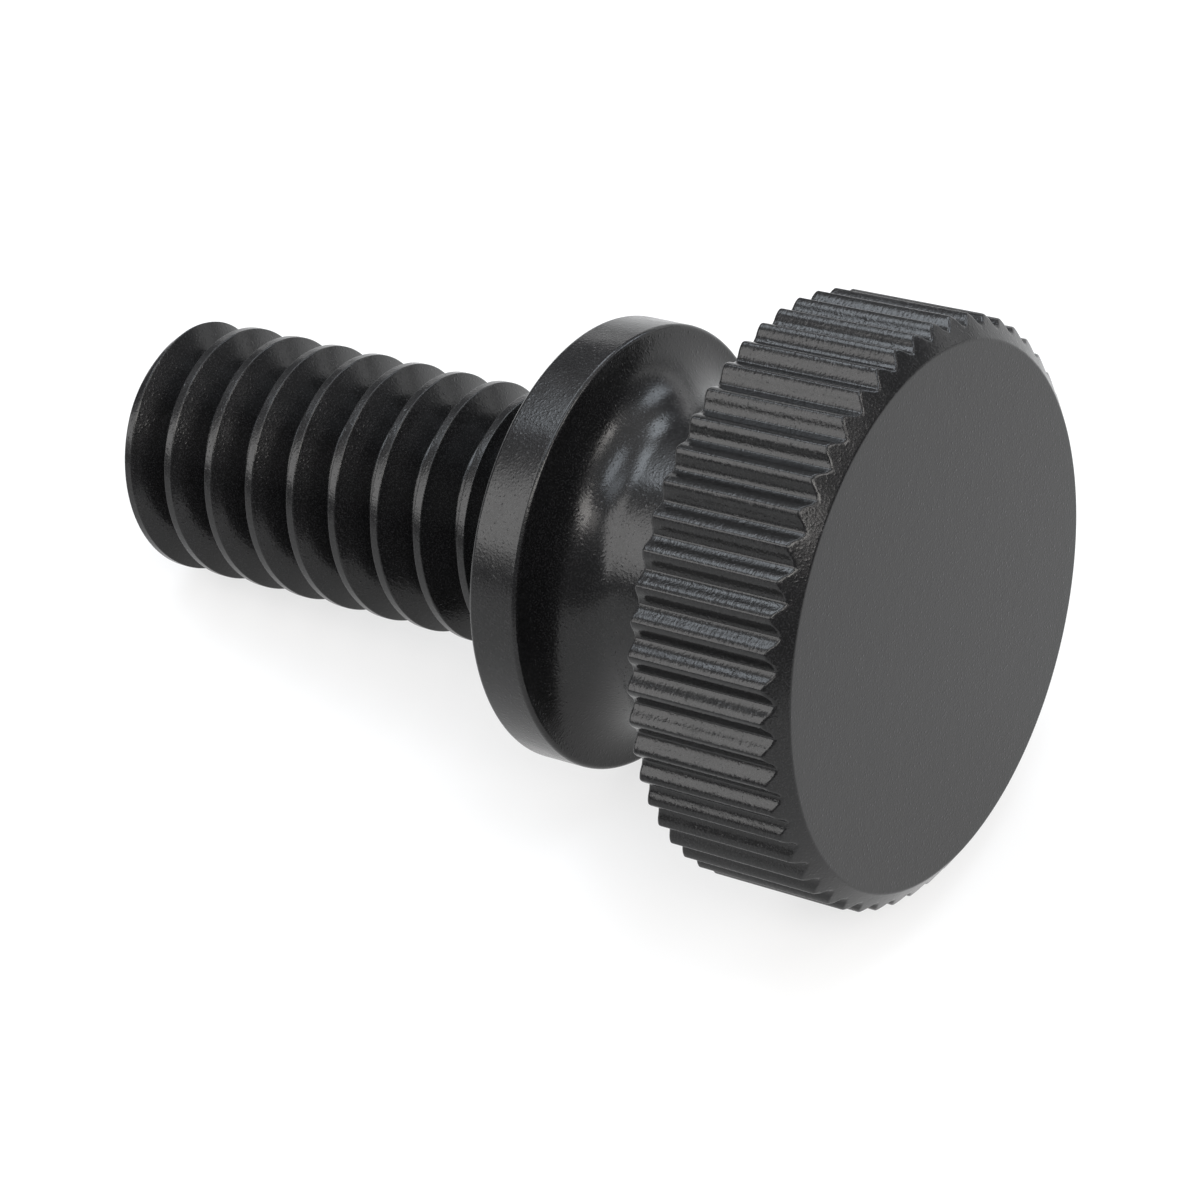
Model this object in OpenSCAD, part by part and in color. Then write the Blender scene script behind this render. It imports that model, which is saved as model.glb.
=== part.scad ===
/* [Thread] */
// Diameter over the thread crests, in mm
thread_diameter = 6.25; // [4.5:0.05:7]
// Distance from one crest to the next, in mm
thread_pitch = 1.27; // [0.8:0.01:1.6]
// Length of the threaded shank below the collar, in mm
thread_length = 12.7; // [8:0.1:32]
// Height of the bevel that leads the tip into a nut, in mm
tip_bevel = 0.5; // [0.2:0.05:0.8]
// Length of the plain shoulder where the thread runs out at the collar, in mm
shoulder_length = 0.5; // [0.2:0.05:1.2]

/* [Collar] */
// Diameter of the collar that seats on the work, in mm
collar_diameter = 10.64; // [9:0.02:12]
// Thickness of the collar, in mm
collar_thickness = 1.32; // [0.8:0.02:2.5]
// Radius of the rounded rims of the collar, in mm
rim_radius = 0.12; // [0.05:0.01:0.25]

/* [Neck] */
// Diameter of the neck between collar and head, in mm
neck_diameter = 7.4; // [6:0.1:8]
// Length of the neck from the head to the top of the collar, in mm
neck_length = 4.04; // [3:0.02:8]
// Radius of the hollow curve that runs from the neck out to the collar, in mm
collar_fillet = 1.45; // [0.5:0.05:2.4]
// Radius of the small curve where the neck meets the head, in mm
head_fillet = 0.4; // [0.2:0.05:0.6]

/* [Head] */
// Diameter over the crests of the grip teeth, in mm
head_diameter = 13.7; // [12.8:0.1:18]
// Height of the head, in mm
head_height = 3.86; // [2.5:0.02:7]
// Width of the sloping band between the end face and the tooth crests, in mm
band_width = 0.52; // [0.45:0.01:0.8]
// Height of the sloping band, in mm
band_height = 0.4; // [0.2:0.02:0.8]
// Number of straight grip teeth round the head
tooth_count = 55; // [36:1:66]
// Depth of the valleys between the teeth, in mm
tooth_depth = 0.29; // [0.15:0.01:0.38]

/* [Hidden] */

// flats of the sixty degree thread, as shares of its pitch
crest_share = 0.16;
root_share = 0.13;
flank_slope = tan(30);
// angle about the axis at which a crest stands a whole number of pitches from the collar
thread_turn = 132;
// straight facets in one turn of the thread
turn_steps = 64;
// the ridge is drawn this much too high and trimmed, so that its crest is part of a true cylinder
crest_spare = 0.05;
// how far the shank reaches up into the collar
shank_root = 0.5;
// how far the plain shoulder stands out past the thread crests
shoulder_step = 0.05;

// flats of the grip teeth, and the bevel at their back end
tooth_crest = 0.05;
tooth_valley = 0.03;
tooth_bevel = 0.06;
// how far the round outline of the head passes beyond the tooth crests
outline_spare = 0.2;

head_radius = head_diameter / 2;
face_radius = head_radius - band_width;
valley_radius = head_radius - tooth_depth;
neck_radius = neck_diameter / 2;
collar_radius = collar_diameter / 2;
thread_radius = thread_diameter / 2;

// heights along the axis, from the end face towards the tip
back_height = head_height - tooth_bevel;
collar_top = head_height + neck_length;
seat_height = collar_top + collar_thickness;
tip_height = seat_height + thread_length;

crest_width = crest_share * thread_pitch;
root_width = root_share * thread_pitch;
flank_width = (thread_pitch - crest_width - root_width) / 2;
root_radius = thread_radius - flank_width / flank_slope;

half_tooth = 180 / tooth_count;
half_crest = asin(tooth_crest / 2 / head_radius);
half_valley = asin(tooth_valley / 2 / valley_radius);

// the screw lies on the two lowest teeth, at the back of the head, and on its thread or its collar,
// whichever comes down first; the last whole crest on its underside is the one that touches
touch_radius = head_radius * cos(half_tooth - half_crest);
first_crest = (180 - thread_turn) / 360 * thread_pitch + crest_width / 2;
crest_steps = floor((thread_length - tip_bevel - first_crest) / thread_pitch);
last_crest = seat_height + first_crest + crest_steps * thread_pitch;
thread_tilt = atan((touch_radius - thread_radius) / (last_crest - back_height));
collar_tilt = atan((touch_radius - collar_radius) / (seat_height - rim_radius - back_height));
rest_tilt = min(thread_tilt, collar_tilt);

// the origin is on the ground below the middle of the lying screw
rest_height = touch_radius * cos(rest_tilt) + back_height * sin(rest_tilt);
tip_reach = tip_height * cos(rest_tilt) + (thread_radius - tip_bevel) * sin(rest_tilt);
band_reach = head_radius * sin(rest_tilt) - band_height * cos(rest_tilt);
face_reach = max(face_radius * sin(rest_tilt), band_reach);

function on_circle(radius, angle) = [radius * cos(angle), radius * sin(angle)];

// half a valley, the crest and half of the next valley
function tooth(middle) = [
    on_circle(valley_radius, middle - half_tooth + half_valley),
    on_circle(head_radius, middle - half_crest),
    on_circle(head_radius, middle + half_crest),
    on_circle(valley_radius, middle + half_tooth - half_valley)
];

// the outline of the thread goes valley, valley, crest, crest in every pitch
function ridge_radius(corner) = corner % 4 < 2 ? root_radius : thread_radius + crest_spare;
function ridge_height(corner) =
    let (
        half_top = crest_width / 2 - crest_spare * flank_slope,
        half_foot = crest_width / 2 + flank_width,
        along = [-half_foot - root_width, -half_foot, -half_top, half_top]
    )
    floor(corner / 4) * thread_pitch + along[corner % 4];

module grip() {
    // a valley faces straight down, between two teeth
    teeth = [for (k = [0:tooth_count - 1]) each tooth(180 + (2 * k + 1) * half_tooth)];
    band_slope = band_height / band_width;
    outline = [
        [0, 0],
        [face_radius, 0],
        [head_radius + outline_spare, band_height + outline_spare * band_slope],
        [head_radius + outline_spare, back_height - outline_spare],
        [head_radius - tooth_bevel, head_height],
        [0, head_height]
    ];
    intersection() {
        linear_extrude(head_height) polygon(teeth);
        rotate_extrude($fn = 72) polygon(outline);
    }
}

module neck_and_collar() {
    // the hollow curve ends where the rim of the collar begins
    hollow = min(collar_fillet, collar_radius - rim_radius - neck_radius);
    rotate_extrude($fn = 72) {
        translate([0, head_height - head_fillet]) square([neck_radius, neck_length + head_fillet]);
        difference() {
            translate([0, head_height - head_fillet]) square([neck_radius + head_fillet, 2 * head_fillet]);
            translate([neck_radius + head_fillet, head_height + head_fillet]) circle(head_fillet, $fn = 32);
        }
        difference() {
            translate([0, collar_top - hollow]) square([neck_radius + hollow, hollow + rim_radius]);
            translate([neck_radius + hollow, collar_top - hollow]) circle(hollow, $fn = 48);
        }
        translate([0, collar_top]) square([collar_radius - rim_radius, collar_thickness]);
        translate([0, collar_top + rim_radius]) square([collar_radius, collar_thickness - 2 * rim_radius]);
        for (height = [collar_top + rim_radius, seat_height - rim_radius])
            translate([collar_radius - rim_radius, height]) circle(rim_radius, $fn = 16);
    }
}

// a rod whose surface winds one pitch upwards in every turn, closed by a fan at each end
module threaded_rod() {
    turns = ceil(thread_length / thread_pitch) + 4;
    rows = 4 * turns;
    start = seat_height - (2 + thread_turn / 360) * thread_pitch;
    last = turn_steps - 1;
    surface = [
        for (step = [0:last], corner = [0:rows])
            concat(
                on_circle(ridge_radius(corner), 360 * step / turn_steps),
                start + ridge_height(corner) + thread_pitch * step / turn_steps
            )
    ];
    column = rows + 1;
    foot = column * turn_steps;
    points = concat(surface, [[0, 0, start], [0, 0, start + turns * thread_pitch]]);
    walls = [
        for (step = [0:last - 1], corner = [0:rows - 1])
            let (here = step * column + corner, beside = here + column)
            each [[here, here + 1, beside], [here + 1, beside + 1, beside]]
    ];
    // after a whole turn each row meets the row one pitch higher
    seam = [
        for (corner = [0:rows - 5])
            let (here = last * column + corner, beside = corner + 4)
            each [[here, here + 1, beside], [here + 1, beside + 1, beside]]
    ];
    lower_edge = [for (step = [0:last]) step * column, for (corner = [4:-1:1]) corner];
    upper_edge = [
        for (step = [0:last]) step * column + rows,
        for (corner = [rows - 1:-1:rows - 4]) last * column + corner
    ];
    around = len(lower_edge);
    caps = [
        for (k = [0:around - 1])
            let (next = (k + 1) % around)
            each [[foot, lower_edge[k], lower_edge[next]], [foot + 1, upper_edge[next], upper_edge[k]]]
    ];
    polyhedron(points, concat(walls, seam, caps));
}

module threaded_shank() {
    translate([0, 0, seat_height - shank_root])
        cylinder(shank_root + shoulder_length, r = thread_radius + shoulder_step, $fn = 72);
    intersection() {
        threaded_rod();
        rotate_extrude($fn = 72)
            polygon([
                [0, seat_height - shank_root],
                [thread_radius, seat_height - shank_root],
                [thread_radius, tip_height - tip_bevel],
                [thread_radius - tip_bevel, tip_height],
                [0, tip_height]
            ]);
    }
}

module thumb_screw() {
    color("#1d1d1f")
        translate([(tip_reach - face_reach) / 2, 0, rest_height])
            rotate([0, -90 - rest_tilt, 0]) {
                grip();
                neck_and_collar();
                threaded_shank();
            }
}

thumb_screw();
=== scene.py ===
import math

import bpy
from mathutils import Matrix, Vector


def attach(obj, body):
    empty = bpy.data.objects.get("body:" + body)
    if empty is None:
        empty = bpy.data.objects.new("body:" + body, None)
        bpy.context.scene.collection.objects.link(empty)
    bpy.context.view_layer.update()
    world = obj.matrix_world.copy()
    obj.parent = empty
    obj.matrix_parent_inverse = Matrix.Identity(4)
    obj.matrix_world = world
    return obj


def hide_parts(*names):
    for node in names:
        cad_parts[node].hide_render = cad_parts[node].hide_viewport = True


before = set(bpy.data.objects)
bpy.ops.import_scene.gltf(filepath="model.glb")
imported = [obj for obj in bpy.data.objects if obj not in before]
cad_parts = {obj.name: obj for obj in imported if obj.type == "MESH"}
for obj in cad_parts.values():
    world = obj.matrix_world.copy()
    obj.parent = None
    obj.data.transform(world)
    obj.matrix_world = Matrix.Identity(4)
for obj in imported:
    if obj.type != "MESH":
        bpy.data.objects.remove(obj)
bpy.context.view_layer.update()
mm = 0.001
scene = bpy.context.scene
print("frame loaded")

# sizes in millimetres, along the screw's own axis from the end face towards the tip
head = {
    "radius": 6.85,
    "height": 3.86,
    "bandWidth": 0.52,
    "bandHeight": 0.4,
    "teeth": 55,
    "solidCrest": 0.05,  # width of the flat crests of the solid's teeth, on which it lies
    "crestRounding": 0.08,
    "crestAngle": 20,  # where the tight arc of a crest goes over into the flank, in degrees
    "flankAngle": 49,  # the steepest part of a flank, in degrees
    "toothBevel": 0.06,
    "faceRounding": 0.12,
    "frontRounding": 0.08,
    "frontRows": (-0.77, -0.35, 0, 0.35, 0.77),  # rows across the rounded front ends of the teeth
    "spare": 0.5,  # how far the drawn outline passes beyond the teeth
}
neck = {
    "radius": 3.7,
    "length": 4.04,
    "headFillet": 0.4,
    "collarFillet": 1.45,
    "overlap": 0.3,  # how far its shell reaches into the head
    "steps": 180,
}
collar = {
    "radius": 5.32,
    "thickness": 1.32,
    "rimRadius": 0.12,
}
thread = {
    "radius": 3.125,
    "pitch": 1.27,
    "length": 12.7,
    "tipBevel": 0.5,
    "crestShare": 0.16,
    "rootShare": 0.13,
    "turn": 132.0,  # where a crest stands a whole number of pitches from the collar, in degrees
    "shoulderLength": 0.5,
    "shoulderStep": 0.05,
    "shoulderRounding": 0.05,
    "edgeRounding": 0.035,
    "overlap": 0.4,  # how far its shell reaches into the collar
    "steps": 132,
}
collarTop = head["height"] + neck["length"]
seatHeight = collarTop + collar["thickness"]
tipHeight = seatHeight + thread["length"]


# the screw lies on two teeth at the back of its head and on its thread
def lyingMatrix():
    halfTooth = math.radians(180 / head["teeth"]) - math.asin(head["solidCrest"] / 2 / head["radius"])
    touch = head["radius"] * math.cos(halfTooth)
    back = head["height"] - head["toothBevel"]
    pitch = thread["pitch"]
    first = (180 - thread["turn"]) / 360 * pitch + thread["crestShare"] * pitch / 2
    turns = math.floor((thread["length"] - thread["tipBevel"] - first) / pitch)
    lastCrest = seatHeight + first + turns * pitch
    tilt = math.atan((touch - thread["radius"]) / (lastCrest - back))
    sine, cosine = math.sin(tilt), math.cos(tilt)
    tipReach = tipHeight * cosine + (thread["radius"] - thread["tipBevel"]) * sine
    faceReach = (head["radius"] - head["bandWidth"]) * sine
    place = Vector(((tipReach - faceReach) / 2, 0, touch * cosine + back * sine))
    turn = Matrix(((-sine, 0, -cosine), (0, 1, 0), (cosine, 0, -sine))).to_4x4()
    return Matrix.Translation(place * mm) @ turn @ Matrix.Scale(mm, 4)


lying = lyingMatrix()


# a node tree that is put together like a formula
class Tree:
    def __init__(self, name, kind, inputs, outputs):
        self.tree = bpy.data.node_groups.new(name, kind)
        face = self.tree.interface
        for label, socket, value in inputs:
            item = face.new_socket(name=label, in_out="INPUT", socket_type=socket)
            if value is not None:
                item.default_value = value
        for label, socket in outputs:
            face.new_socket(name=label, in_out="OUTPUT", socket_type=socket)
        self.source = self.tree.nodes.new("NodeGroupInput")
        self.sink = self.tree.nodes.new("NodeGroupOutput")

    def given(self, label):
        return self.source.outputs[label]

    def give(self, label, value):
        self.link(value, self.sink.inputs[label])

    def link(self, value, socket):
        if isinstance(value, bpy.types.Node):
            value = value.outputs[0]
        if isinstance(value, bpy.types.NodeSocket):
            self.tree.links.new(value, socket)
        else:
            socket.default_value = value

    def add(self, kind, inputs=None, **settings):
        node = self.tree.nodes.new(kind)
        for key, value in settings.items():
            setattr(node, key, value)
        for key, value in (inputs or {}).items():
            self.link(value, node.inputs[key])
        return node

    def math(self, operation, *values):
        node = self.add("ShaderNodeMath", operation=operation)
        for socket, value in zip(node.inputs, values):
            self.link(value, socket)
        return node.outputs[0]

    def vector(self, x, y, z):
        return self.add("ShaderNodeCombineXYZ", {"X": x, "Y": y, "Z": z}).outputs[0]

    def split(self, vector):
        return self.add("ShaderNodeSeparateXYZ", {"Vector": vector}).outputs


commonInputs = [
    ("Geometry", "NodeSocketGeometry", None),
    ("Material", "NodeSocketMaterial", None),
]
geometryOut = [("Geometry", "NodeSocketGeometry")]


def sizeInputs(sizes):
    return [(size, "NodeSocketFloat", 1.0) for size in sizes]


# a grid with rows along the axis and columns round it
def roundGrid(t, rows, columns):
    around = t.math("ADD", columns, 1)
    grid = t.add("GeometryNodeMeshGrid", {"Vertices X": rows, "Vertices Y": around})
    index = t.add("GeometryNodeInputIndex").outputs[0]
    row = t.math("FLOOR", t.math("DIVIDE", t.math("ADD", index, 0.5), around))
    return grid.outputs["Mesh"], row, t.math("SUBTRACT", index, t.math("MULTIPLY", row, around))


# the grid's points go round the axis, and the seam and the poles are welded
def closeRound(t, mesh, radius, angle, height):
    x = t.math("MULTIPLY", radius, t.math("COSINE", angle))
    y = t.math("MULTIPLY", radius, t.math("SINE", angle))
    placed = t.add("GeometryNodeSetPosition", {"Geometry": mesh, "Position": t.vector(x, y, height)})
    welded = t.add("GeometryNodeMergeByDistance", {"Geometry": placed, "Distance": 0.0005})
    outwards = t.add("GeometryNodeFlipFaces", {"Mesh": welded})
    real = t.add("GeometryNodeRealizeInstances", {"Geometry": outwards})
    t.give("Geometry", t.add("GeometryNodeSetMaterial", {"Geometry": real, "Material": t.given("Material")}))


# the point of the drawn outline that a row follows
def outlinePoint(t, row):
    sample = t.add("GeometryNodeSampleIndex", data_type="FLOAT_VECTOR", domain="POINT")
    t.link(t.given("Geometry"), sample.inputs["Geometry"])
    t.link(t.add("GeometryNodeInputPosition"), sample.inputs["Value"])
    t.link(row, sample.inputs["Index"])
    return t.split(sample.outputs[0])


def outlineLength(t):
    size = t.add("GeometryNodeAttributeDomainSize", {"Geometry": t.given("Geometry")}, component="MESH")
    return size.outputs["Point Count"]


# steps are spread over spans of the given widths; each span is (width, number of steps)
def spreadSteps(t, step, spans):
    start, total = 0, 0.0
    for width, count in spans:
        part = t.math("DIVIDE", t.math("SUBTRACT", step, start), count)
        part = t.math("MINIMUM", t.math("MAXIMUM", part, 0.0), 1.0)
        total = t.math("ADD", total, t.math("MULTIPLY", part, width))
        start += count
    return total


# the drawn outline is turned round the axis
def revolveTree():
    t = Tree("Revolve", "GeometryNodeTree", commonInputs + [("Steps", "NodeSocketInt", 120)], geometryOut)
    mesh, row, column = roundGrid(t, outlineLength(t), t.given("Steps"))
    point = outlinePoint(t, row)
    angle = t.math("MULTIPLY", t.math("DIVIDE", column, t.given("Steps")), 2 * math.pi)
    closeRound(t, mesh, point["X"], angle, point["Z"])
    return t.tree


# a round head whose rim is cut into teeth, with a sloping band in front of them; each point of
# the outline holds its largest radius, its height, and in between how far it is set in from the
# teeth or, below zero, how closely its height follows the front edge of the teeth
def toothedHeadTree():
    sizes = [
        "Crest Radius",
        "Crest Rounding",
        "Crest Angle",
        "Flank Angle",
        "Front Rounding",
        "Face Radius",
        "Band Height",
    ]
    t = Tree(
        "Toothed Head",
        "GeometryNodeTree",
        commonInputs + [("Teeth", "NodeSocketInt", 50)] + sizeInputs(sizes),
        geometryOut,
    )
    crest, rounding, topAngle, steepAngle, frontRounding, face, band = map(t.given, sizes)
    teeth = t.given("Teeth")
    stepsPerTooth = 24
    mesh, row, column = roundGrid(t, outlineLength(t), t.math("MULTIPLY", teeth, stepsPerTooth))
    point = outlinePoint(t, row)
    # steps from the middle of the nearest valley to the crest; either is a tight arc that goes over
    # into a wide one, and the flank is steepest halfway between them
    tooth = t.math("DIVIDE", column, stepsPerTooth)
    valleyNumber = t.math("ROUND", tooth)
    share = t.math("SUBTRACT", tooth, valleyNumber)
    step = t.math("MULTIPLY", t.math("ABSOLUTE", share), stepsPerTooth)
    halfTooth = t.math("DIVIDE", t.math("MULTIPLY", crest, math.pi), teeth)
    halfFlank = t.math("MULTIPLY", halfTooth, 0.5)
    topSine, steepSine = t.math("SINE", topAngle), t.math("SINE", steepAngle)
    topArc = t.math("MULTIPLY", rounding, topSine)
    wideArc = t.math("SUBTRACT", halfFlank, topArc)
    wideRounding = t.math("DIVIDE", wideArc, t.math("SUBTRACT", steepSine, topSine))
    away = spreadSteps(t, step, [(topArc, 2), (wideArc, 4), (wideArc, 4), (topArc, 2)])
    sideways = t.math("MULTIPLY", away, t.math("SIGN", share))
    turn = t.math("DIVIDE", sideways, t.math("MULTIPLY", halfTooth, 2.0))
    turn = t.math("DIVIDE", t.math("ADD", valleyNumber, turn), teeth)
    # a valley faces the ground
    angle = t.math("ADD", t.math("MULTIPLY", turn, 2 * math.pi), math.pi)

    # how far the surface has fallen at this distance from the middle of a crest
    def crestFall(distance):
        def level(radius, reach):
            reachSquare = t.math("MULTIPLY", reach, reach)
            return t.math("SQRT", t.math("SUBTRACT", t.math("MULTIPLY", radius, radius), reachSquare))

        tight = t.math("SUBTRACT", rounding, level(rounding, t.math("MINIMUM", distance, topArc)))
        start = t.math("MULTIPLY", wideRounding, topSine)
        reach = t.math("ADD", start, t.math("MAXIMUM", t.math("SUBTRACT", distance, topArc), 0.0))
        wide = t.math("SUBTRACT", level(wideRounding, start), level(wideRounding, reach))
        return t.math("ADD", tight, wide)

    fromCrest = t.math("SUBTRACT", halfTooth, away)
    fall = crestFall(t.math("MINIMUM", fromCrest, away))
    # a valley is the same curve upside down
    inValley = t.math("MULTIPLY", t.math("LESS_THAN", away, halfFlank), 2.0)
    rest = t.math("MULTIPLY", t.math("SUBTRACT", crestFall(halfFlank), fall), inValley)
    wall = t.math("SUBTRACT", crest, t.math("ADD", fall, rest))
    # the band is a cone; a row may follow the edge where this tooth meets it
    slope = t.math("DIVIDE", band, t.math("SUBTRACT", crest, face))
    edge = t.math("MULTIPLY", t.math("SUBTRACT", wall, face), slope)
    follow = t.math("MAXIMUM", t.math("MULTIPLY", point["Y"], -1.0), 0.0)
    height = t.math("ADD", point["Z"], t.math("MULTIPLY", follow, t.math("SUBTRACT", edge, band)))
    cone = t.math("ADD", face, t.math("DIVIDE", height, slope))
    wall = t.math("SMOOTH_MIN", wall, cone, frontRounding)
    wall = t.math("SUBTRACT", wall, t.math("MAXIMUM", point["Y"], 0.0))
    closeRound(t, mesh, t.math("MINIMUM", wall, point["X"]), angle, height)
    return t.tree


# a surface that climbs one pitch in each turn, trimmed by the bevel and the flat tip
def woundThreadTree():
    sizes = [
        "Crest Radius",
        "Pitch",
        "Crest Width",
        "Root Width",
        "Rounding",
        "Foot Height",
        "Tip Height",
        "Tip Bevel",
        "Crest Height",
    ]
    t = Tree(
        "Wound Thread",
        "GeometryNodeTree",
        commonInputs + [("Steps", "NodeSocketInt", 120)] + sizeInputs(sizes),
        geometryOut,
    )
    crest, pitch, top, root, rounding, foot, tip, bevel, phase = map(t.given, sizes)
    rowsPerTurn = 22
    # each end closes over this many pitches, and the seam needs one more
    spare = 0.4
    low = t.math("SUBTRACT", foot, t.math("MULTIPLY", pitch, spare + 1))
    start = t.math("FLOOR", t.math("DIVIDE", t.math("SUBTRACT", low, phase), pitch))
    turns = t.math("DIVIDE", t.math("SUBTRACT", tip, phase), pitch)
    turns = t.math("CEIL", t.math("ADD", t.math("SUBTRACT", turns, start), spare))
    rows = t.math("ADD", t.math("MULTIPLY", turns, rowsPerTurn), 1)
    mesh, row, column = roundGrid(t, rows, t.given("Steps"))
    angle = t.math("MULTIPLY", t.math("DIVIDE", column, t.given("Steps")), 2 * math.pi)
    climb = t.math("MULTIPLY", t.math("DIVIDE", angle, 2 * math.pi), pitch)
    # steps from the nearest crest, close together where an edge is rounded
    turn = t.math("DIVIDE", row, rowsPerTurn)
    crestNumber = t.math("ROUND", turn)
    share = t.math("SUBTRACT", turn, crestNumber)
    step = t.math("MULTIPLY", t.math("ABSOLUTE", share), rowsPerTurn)
    steep = 1 / math.tan(math.radians(30))
    blend = t.math("DIVIDE", rounding, steep)
    twice = t.math("MULTIPLY", blend, 2.0)
    halfTop = t.math("MULTIPLY", top, 0.5)
    halfRoot = t.math("MULTIPLY", root, 0.5)
    flank = t.math("SUBTRACT", t.math("MULTIPLY", pitch, 0.5), t.math("ADD", halfTop, halfRoot))
    spans = [
        (t.math("SUBTRACT", halfTop, blend), 1),
        (twice, 4),
        (t.math("SUBTRACT", flank, twice), 3),
        (twice, 2),
        (t.math("SUBTRACT", halfRoot, blend), 1),
    ]
    away = spreadSteps(t, step, spans)
    sideways = t.math("MULTIPLY", away, t.math("SIGN", share))
    along = t.math("ADD", t.math("MULTIPLY", crestNumber, pitch), sideways)
    raw = t.math("ADD", phase, t.math("MULTIPLY", start, pitch))
    raw = t.math("ADD", raw, t.math("ADD", along, climb))
    height = t.math("MINIMUM", t.math("MAXIMUM", raw, foot), tip)
    # distance along the axis from the middle of the nearest crest, also where the ends trim it
    level = t.math("DIVIDE", t.math("SUBTRACT", t.math("SUBTRACT", height, climb), phase), pitch)
    level = t.math("SUBTRACT", level, t.math("ROUND", level))
    fall = t.math("SUBTRACT", t.math("MULTIPLY", t.math("ABSOLUTE", level), pitch), halfTop)
    valley = t.math("SUBTRACT", crest, t.math("MULTIPLY", flank, steep))
    side = t.math("SUBTRACT", crest, t.math("MULTIPLY", fall, steep))
    side = t.math("SMOOTH_MIN", side, crest, rounding)
    side = t.math("SMOOTH_MAX", side, valley, rounding)
    cone = t.math("ADD", t.math("SUBTRACT", crest, bevel), t.math("SUBTRACT", tip, height))
    side = t.math("SMOOTH_MIN", side, cone, rounding)
    # past either end the rows close in on the axis
    past = t.math(
        "ADD",
        t.math("MAXIMUM", t.math("SUBTRACT", raw, tip), 0.0),
        t.math("MAXIMUM", t.math("SUBTRACT", foot, raw), 0.0),
    )
    inward = t.math("MULTIPLY", past, t.math("DIVIDE", crest, t.math("MULTIPLY", pitch, spare)))
    closeRound(t, mesh, t.math("MAXIMUM", t.math("SUBTRACT", side, inward), 0.0), angle, height)
    return t.tree


# runs a tree on a mesh and gives the plain mesh that comes out
def runTree(name, points, tree, values):
    mesh = bpy.data.meshes.new(name)
    mesh.from_pydata(points, [(k, k + 1) for k in range(len(points) - 1)], [])
    shape = bpy.data.objects.new(name, mesh)
    scene.collection.objects.link(shape)
    modifier = shape.modifiers.new(tree.name, "NODES")
    modifier.node_group = tree
    for item in tree.interface.items_tree:
        if item.item_type == "SOCKET" and item.in_out == "INPUT" and item.name in values:
            modifier[item.identifier] = values[item.name]
    graph = bpy.context.evaluated_depsgraph_get()
    result = bpy.data.meshes.new_from_object(shape.evaluated_get(graph), depsgraph=graph)
    bpy.data.objects.remove(shape)
    return result


# points of an arc as (radius, height), with angles from the outward direction
def arcPoints(x, z, radius, start, end, count):
    angles = [math.radians(start + (end - start) * k / count) for k in range(count + 1)]
    return [(x + radius * math.cos(a), z + radius * math.sin(a)) for a in angles]


# the outline of the head, from the middle of the end face to the middle of its back
def headOutline():
    clear = head["radius"] + head["spare"]
    faceRadius = head["radius"] - head["bandWidth"]
    lean = math.atan(head["bandHeight"] / head["bandWidth"])
    rounding = head["faceRounding"]
    reach = rounding * math.tan(lean / 2)
    # flat and straight stretches need only a few rows
    points = [(radius, 0, 0) for radius in (0, 3.0, 6.0)]
    for x, z in arcPoints(faceRadius - reach, rounding, rounding, -90, math.degrees(lean) - 90, 4):
        points.append((x, 0, z))
    points.append((clear, -0.5, head["bandHeight"] * 0.38))
    for step in head["frontRows"]:
        points.append((clear, -1, head["bandHeight"] + step * head["frontRounding"]))
    points += [(clear, -0.5, head["bandHeight"] + 0.2), (clear, 0, 1.0), (clear, 0, 2.4)]
    # a little more than the solid's bevel, because it is rounded
    bevel = head["toothBevel"] + 0.01
    points.append((clear, 0, head["height"] - 3 * bevel))
    for x, z in arcPoints(-bevel, head["height"] - bevel, bevel, 0, 90, 5):
        points.append((clear, -x, z))
    return points + [(radius, bevel, head["height"]) for radius in (6.3, 3.0, 0)]


# the outline of neck, collar and shoulder, from inside the head to inside the shank
def neckOutline():
    fillet = neck["headFillet"]
    # the curve dips just below the back of the head, so that the two shells cross
    start = head["height"] + fillet - 0.003
    inside = head["height"] - neck["overlap"]
    points = [(0, 0, inside), (neck["radius"] + fillet, 0, inside)]
    for x, z in arcPoints(neck["radius"] + fillet, start, fillet, -90, -180, 8):
        points.append((x, 0, z))
    hollow = neck["collarFillet"]
    for x, z in arcPoints(neck["radius"] + hollow, collarTop - hollow, hollow, 180, 90, 20):
        points.append((x, 0, z))
    rim = collar["rimRadius"]
    for z, first in ((collarTop + rim, -90), (seatHeight - rim, 0)):
        for x, height in arcPoints(collar["radius"] - rim, z, rim, first, first + 90, 6):
            points.append((x, 0, height))
    shoulder = thread["radius"] + thread["shoulderStep"]
    shoulderTop = seatHeight + thread["shoulderLength"]
    foot, edge = thread["shoulderRounding"] + 0.01, thread["shoulderRounding"]
    points.append((shoulder + foot + 0.02, 0, seatHeight))
    for x, z in arcPoints(shoulder + foot, seatHeight + foot, foot, -90, -180, 3):
        points.append((x, 0, z))
    for x, z in arcPoints(shoulder - edge, shoulderTop - edge, edge, 0, 90, 3):
        points.append((x, 0, z))
    return points + [(0, 0, shoulderTop)]


# a socket of this name that holds a colour; a Mix node has more than one of the same name
def colourSocket(sockets, name):
    return next(socket for socket in sockets if socket.name == name and socket.type == "RGBA")


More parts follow.
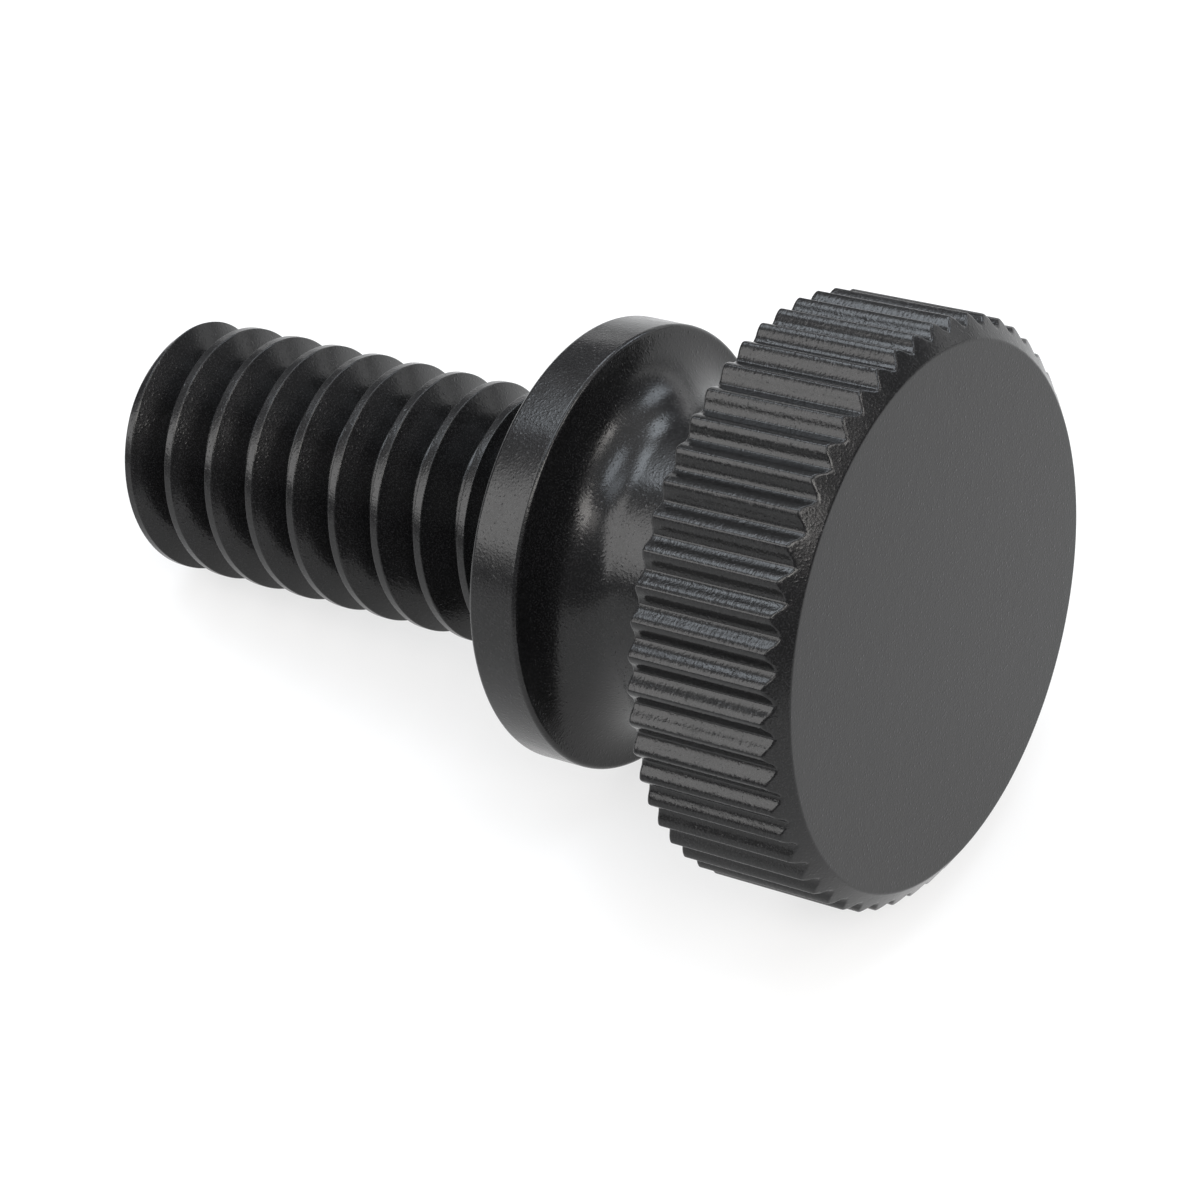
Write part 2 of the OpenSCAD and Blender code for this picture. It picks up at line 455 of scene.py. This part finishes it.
# heights and sizes of the moulded plastic in millimetres
surface = {
    "darkColour": (0.0042, 0.0042, 0.0044, 1),
    "paleColour": (0.014, 0.014, 0.0145, 1),
    "specular": 0.315,
    "roughness": (0.17, 0.25),
    "grainSize": 0.06,
    "grainHeight": 0.0028,
    "waveSize": 0.32,
    "waveHeight": 0.0035,
    "speckSize": 0.06,
    "speckHeight": 0.012,
    "speckLevel": 0.66,  # the noise passes this only here and there
    "streakHeight": 0.0055,
    "streaks": (2.5, 2.5, 9.0),  # to the millimetre, across the axis and along it
    "toothRadii": (6.35, 6.6),  # the streaks fade in between these
    "pastBand": (0.35, 0.6),
    "dustGrain": 1.6,  # dust is this much finer than the grain
    "dustLevels": (0.45, 0.8),
    "patches": 1.1,  # patches of more or less gloss, to the millimetre
    "glossLevels": (0.35, 0.65),
}


reliefSizes = [
    "Grain Size",
    "Grain Height",
    "Wave Size",
    "Wave Height",
    "Speck Size",
    "Speck Height",
    "Streak Height",
]


# relief and unevenness of moulded plastic, from coordinates in millimetres along the screw
def mouldedSurfaceTree():
    t = Tree(
        "Moulded Surface",
        "ShaderNodeTree",
        [("Vector", "NodeSocketVector", None)] + sizeInputs(reliefSizes),
        [(label, "NodeSocketFloat") for label in ("Relief", "Unevenness", "Dust")],
    )
    place = t.given("Vector")
    given = [t.given(label) for label in reliefSizes]
    grainSize, grainHeight, waveSize, waveHeight, speckSize, speckHeight, streakHeight = given

    def noise(vector, scale, detail, rough=0.5):
        inputs = {"Vector": vector, "Scale": scale, "Detail": detail, "Roughness": rough}
        return t.add("ShaderNodeTexNoise", inputs).outputs["Fac"]

    def fadeIn(value, ends):
        inputs = {"Value": value, "From Min": ends[0], "From Max": ends[1]}
        return t.add("ShaderNodeMapRange", inputs).outputs[0]

    grain = noise(place, t.math("DIVIDE", 1.0, grainSize), 1.0)
    wave = noise(place, t.math("DIVIDE", 1.0, waveSize), 3.0, 0.6)
    # small raised specks, few and apart
    speck = noise(place, t.math("DIVIDE", 1.0, speckSize), 0.0)
    speck = t.math("MAXIMUM", t.math("SUBTRACT", speck, surface["speckLevel"]), 0.0)
    # marks across the teeth of the head, which fade out towards the neck
    axis = t.split(place)
    squeezed = [t.math("MULTIPLY", axis[name], count) for name, count in zip("XYZ", surface["streaks"])]
    streak = noise(t.vector(*squeezed), 1.0, 2.0, 0.6)
    squares = [t.math("MULTIPLY", axis[name], axis[name]) for name in "XY"]
    radius = t.math("SQRT", t.math("ADD", *squares))
    onTeeth = fadeIn(radius, surface["toothRadii"])
    onTeeth = t.math("MULTIPLY", onTeeth, fadeIn(axis["Z"], surface["pastBand"]))
    relief = t.math("MULTIPLY", grain, grainHeight)
    relief = t.math("ADD", relief, t.math("MULTIPLY", wave, waveHeight))
    relief = t.math("ADD", relief, t.math("MULTIPLY", speck, speckHeight))
    relief = t.math("ADD", relief, t.math("MULTIPLY", streak, t.math("MULTIPLY", onTeeth, streakHeight)))
    t.give("Relief", relief)
    t.give("Dust", noise(place, t.math("DIVIDE", surface["dustGrain"], grainSize), 0.0))
    patches = noise(place, surface["patches"], 2.0)
    t.give("Unevenness", t.math("MULTIPLY", t.math("ADD", wave, patches), 0.5))
    return t.tree


def plasticMaterial():
    material = bpy.data.materials.new("blackPlastic")
    material.use_nodes = True
    nodes, links = material.node_tree.nodes, material.node_tree.links
    shader = nodes["Principled BSDF"]
    shader.inputs["Specular IOR Level"].default_value = surface["specular"]
    # object coordinates are turned into the screw's own frame, in millimetres
    place = nodes.new("ShaderNodeTexCoord")
    own = nodes.new("ShaderNodeMapping")
    own.vector_type = "TEXTURE"
    own.inputs["Location"].default_value = lying.to_translation()
    own.inputs["Rotation"].default_value = lying.to_euler()
    own.inputs["Scale"].default_value = (mm, mm, mm)
    links.new(place.outputs["Object"], own.inputs["Vector"])
    moulded = nodes.new("ShaderNodeGroup")
    moulded.node_tree = mouldedSurfaceTree()
    links.new(own.outputs["Vector"], moulded.inputs["Vector"])
    for label in reliefSizes:
        key = label[0].lower() + label[1:].replace(" ", "")
        moulded.inputs[label].default_value = surface[key]
    relief = nodes.new("ShaderNodeBump")
    relief.inputs["Strength"].default_value = 1.0
    relief.inputs["Distance"].default_value = mm
    links.new(moulded.outputs["Relief"], relief.inputs["Height"])
    links.new(relief.outputs["Normal"], shader.inputs["Normal"])
    dust = nodes.new("ShaderNodeMapRange")
    dust.inputs["From Min"].default_value, dust.inputs["From Max"].default_value = surface["dustLevels"]
    links.new(moulded.outputs["Dust"], dust.inputs["Value"])
    colour = nodes.new("ShaderNodeMix")
    colour.data_type = "RGBA"
    links.new(dust.outputs["Result"], colour.inputs["Factor"])
    colourSocket(colour.inputs, "A").default_value = surface["darkColour"]
    colourSocket(colour.inputs, "B").default_value = surface["paleColour"]
    links.new(colourSocket(colour.outputs, "Result"), shader.inputs["Base Color"])
    gloss = nodes.new("ShaderNodeMapRange")
    gloss.inputs["From Min"].default_value, gloss.inputs["From Max"].default_value = surface["glossLevels"]
    gloss.inputs["To Min"].default_value, gloss.inputs["To Max"].default_value = surface["roughness"]
    links.new(moulded.outputs["Unevenness"], gloss.inputs["Value"])
    links.new(gloss.outputs["Result"], shader.inputs["Roughness"])
    return material


plastic = plasticMaterial()

headValues = {
    "Material": plastic,
    "Teeth": head["teeth"],
    "Crest Radius": head["radius"],
    "Crest Rounding": head["crestRounding"],
    "Crest Angle": math.radians(head["crestAngle"]),
    "Flank Angle": math.radians(head["flankAngle"]),
    "Front Rounding": head["frontRounding"],
    "Face Radius": head["radius"] - head["bandWidth"],
    "Band Height": head["bandHeight"],
}
headMesh = runTree("screwHead", headOutline(), toothedHeadTree(), headValues)
print("head:", len(headMesh.polygons), "faces")

neckValues = {"Material": plastic, "Steps": neck["steps"]}
neckMesh = runTree("screwNeck", neckOutline(), revolveTree(), neckValues)
print("neck and collar:", len(neckMesh.polygons), "faces")

threadValues = {
    "Material": plastic,
    "Steps": thread["steps"],
    "Crest Radius": thread["radius"],
    "Pitch": thread["pitch"],
    "Crest Width": thread["crestShare"] * thread["pitch"],
    "Root Width": thread["rootShare"] * thread["pitch"],
    "Rounding": thread["edgeRounding"],
    "Foot Height": seatHeight - thread["overlap"],
    "Tip Height": tipHeight,
    "Tip Bevel": thread["tipBevel"],
    "Crest Height": seatHeight - thread["turn"] / 360 * thread["pitch"],
}
threadMesh = runTree("screwThread", [(0, 0, 0)], woundThreadTree(), threadValues)
print("thread:", len(threadMesh.polygons), "faces")


# closed shells become one, and its flat faces keep their shading up to the rounded edges
def uniteShells(name, meshes):
    shapes = [bpy.data.objects.new(name, mesh) for mesh in meshes]
    for each in shapes:
        scene.collection.objects.link(each)
    for other in shapes[1:]:
        modifier = shapes[0].modifiers.new("union", "BOOLEAN")
        modifier.operation = "UNION"
        modifier.solver = "MANIFOLD"
        modifier.object = other
    modifier = shapes[0].modifiers.new("shading", "WEIGHTED_NORMAL")
    modifier.keep_sharp = True
    for each in shapes:
        each.data.shade_smooth()
    graph = bpy.context.evaluated_depsgraph_get()
    mesh = bpy.data.meshes.new_from_object(shapes[0].evaluated_get(graph), depsgraph=graph)
    for each in shapes:
        bpy.data.objects.remove(each)
    return mesh


screwMesh = uniteShells("screwUnion", [headMesh, neckMesh, threadMesh])
screwMesh.transform(lying)
screw = bpy.data.objects.new("plasticThumbScrew", screwMesh)
scene.collection.objects.link(screw)
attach(screw, "root")
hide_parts("thumb_screw")
screwMesh.calc_loop_triangles()
print("screw:", len(screwMesh.loop_triangles), "triangles")


# floor, light and camera
studio = {
    "floorColour": (0.26, 0.26, 0.26, 1),
    "floorGlow": 0.68,
    "floorSize": 1.2,
    "lightDistance": 0.5,
    "lightAim": 0.007,
    "lowAir": (0.28, 0.28, 0.29, 1),
    "nearAir": (0.55, 0.55, 0.56, 1),
    "farAir": (1.2, 1.19, 1.2, 1),
}
warm = (1.0, 0.97, 0.93)
cool = (0.84, 0.92, 1.0)
# each soft light: direction round and up, width and height as seen from the screw, all in degrees,
# then its brightness and colour
softLights = {
    "keyLight": (-131, 36, 34, 46, 4.4, (1, 0.99, 0.98)),
    "sideGlow": (-66, 55, 22, 12, 3.1, warm),
    "frontWindow": (-38, 51, 20, 13, 8.0, warm),
    "headWindow": (-8, 40, 17, 17, 8.4, warm),
    "faceWindow": (27, 47, 17, 13, 6.6, warm),
    "backWindow": (75, 28, 14, 17, 5.4, cool),
    "farWindow": (117, 43, 18, 17, 5.6, cool),
    "tipWindow": (160, 54, 26, 16, 7.0, cool),
    "topLight": (15, 84, 24, 14, 6.5, cool),
    "sideTopLight": (-130, 76, 20, 12, 3.4, cool),
    "horizonGlow": (92, 9, 90, 9, 1.4, (1, 1, 1)),
}


def addFloor():
    size = studio["floorSize"]
    mesh = bpy.data.meshes.new("floor")
    corners = [(-size, -size, 0), (size, -size, 0), (size, size, 0), (-size, size, 0)]
    mesh.from_pydata(corners, [], [(0, 1, 2, 3)])
    floor = bpy.data.objects.new("floor", mesh)
    material = bpy.data.materials.new("paleFloor")
    material.use_nodes = True
    shader = material.node_tree.nodes["Principled BSDF"]
    shader.inputs["Base Color"].default_value = studio["floorColour"]
    shader.inputs["Roughness"].default_value = 0.8
    shader.inputs["Specular IOR Level"].default_value = 0.0
    shader.inputs["Emission Color"].default_value = (1, 1, 1, 1)
    shader.inputs["Emission Strength"].default_value = studio["floorGlow"]
    mesh.materials.append(material)
    scene.collection.objects.link(floor)


def addSoftLight(name, around, up, wide, high, brightness, colour):
    around, up = math.radians(around), math.radians(up)
    toLight = Vector((math.cos(up) * math.cos(around), math.cos(up) * math.sin(around), math.sin(up)))
    light = bpy.data.lights.new(name, "AREA")
    light.shape = "RECTANGLE"
    light.size = 2 * studio["lightDistance"] * math.tan(math.radians(wide) / 2)
    light.size_y = 2 * studio["lightDistance"] * math.tan(math.radians(high) / 2)
    light.energy = brightness * math.pi * light.size * light.size_y
    light.color = colour
    lamp = bpy.data.objects.new(name, light)
    lamp.location = toLight * studio["lightDistance"] + Vector((0, 0, studio["lightAim"]))
    lamp.rotation_euler = (-toLight).to_track_quat("-Z", "Y").to_euler()
    scene.collection.objects.link(lamp)


# the air is dark low down, and higher up it is paler behind the screw than on the camera's side
def studioAir():
    world = bpy.data.worlds.new("studioAir")
    world.use_nodes = True
    nodes, links = world.node_tree.nodes, world.node_tree.links
    place = nodes.new("ShaderNodeTexCoord")
    split = nodes.new("ShaderNodeSeparateXYZ")
    links.new(place.outputs["Generated"], split.inputs["Vector"])

    def blend(axis, low, high, first, second):
        ramp = nodes.new("ShaderNodeMapRange")
        ramp.interpolation_type = "SMOOTHSTEP"
        ramp.inputs["From Min"].default_value = low
        ramp.inputs["From Max"].default_value = high
        links.new(split.outputs[axis], ramp.inputs["Value"])
        mix = nodes.new("ShaderNodeMix")
        mix.data_type = "RGBA"
        links.new(ramp.outputs["Result"], mix.inputs["Factor"])
        for label, value in (("A", first), ("B", second)):
            socket = colourSocket(mix.inputs, label)
            if isinstance(value, bpy.types.NodeSocket):
                links.new(value, socket)
            else:
                socket.default_value = value
        return colourSocket(mix.outputs, "Result")

    high = blend("Y", -0.5, 0.6, studio["nearAir"], studio["farAir"])
    links.new(blend("Z", 0.45, 0.75, studio["lowAir"], high), nodes["Background"].inputs["Color"])
    return world


addFloor()
for name, values in softLights.items():
    addSoftLight(name, *values)
scene.world = studioAir()

camera = bpy.data.cameras.new("photoCamera")
camera.lens = 118.0464
camera.sensor_width = 36
camera.sensor_fit = "HORIZONTAL"
camera.clip_start = 0.005
photoCamera = bpy.data.objects.new("photoCamera", camera)
photoCamera.matrix_world = Matrix(
    (
        (0.84598830, -0.36345760, 0.39013122, 0.03801469),
        (0.53279530, 0.60478307, -0.59191773, -0.05584661),
        (-0.02080776, 0.70861556, 0.70528791, 0.06995218),
        (0, 0, 0, 1),
    )
)
scene.collection.objects.link(photoCamera)
scene.camera = photoCamera
scene.view_settings.view_transform = "Standard"
print("studio ready")
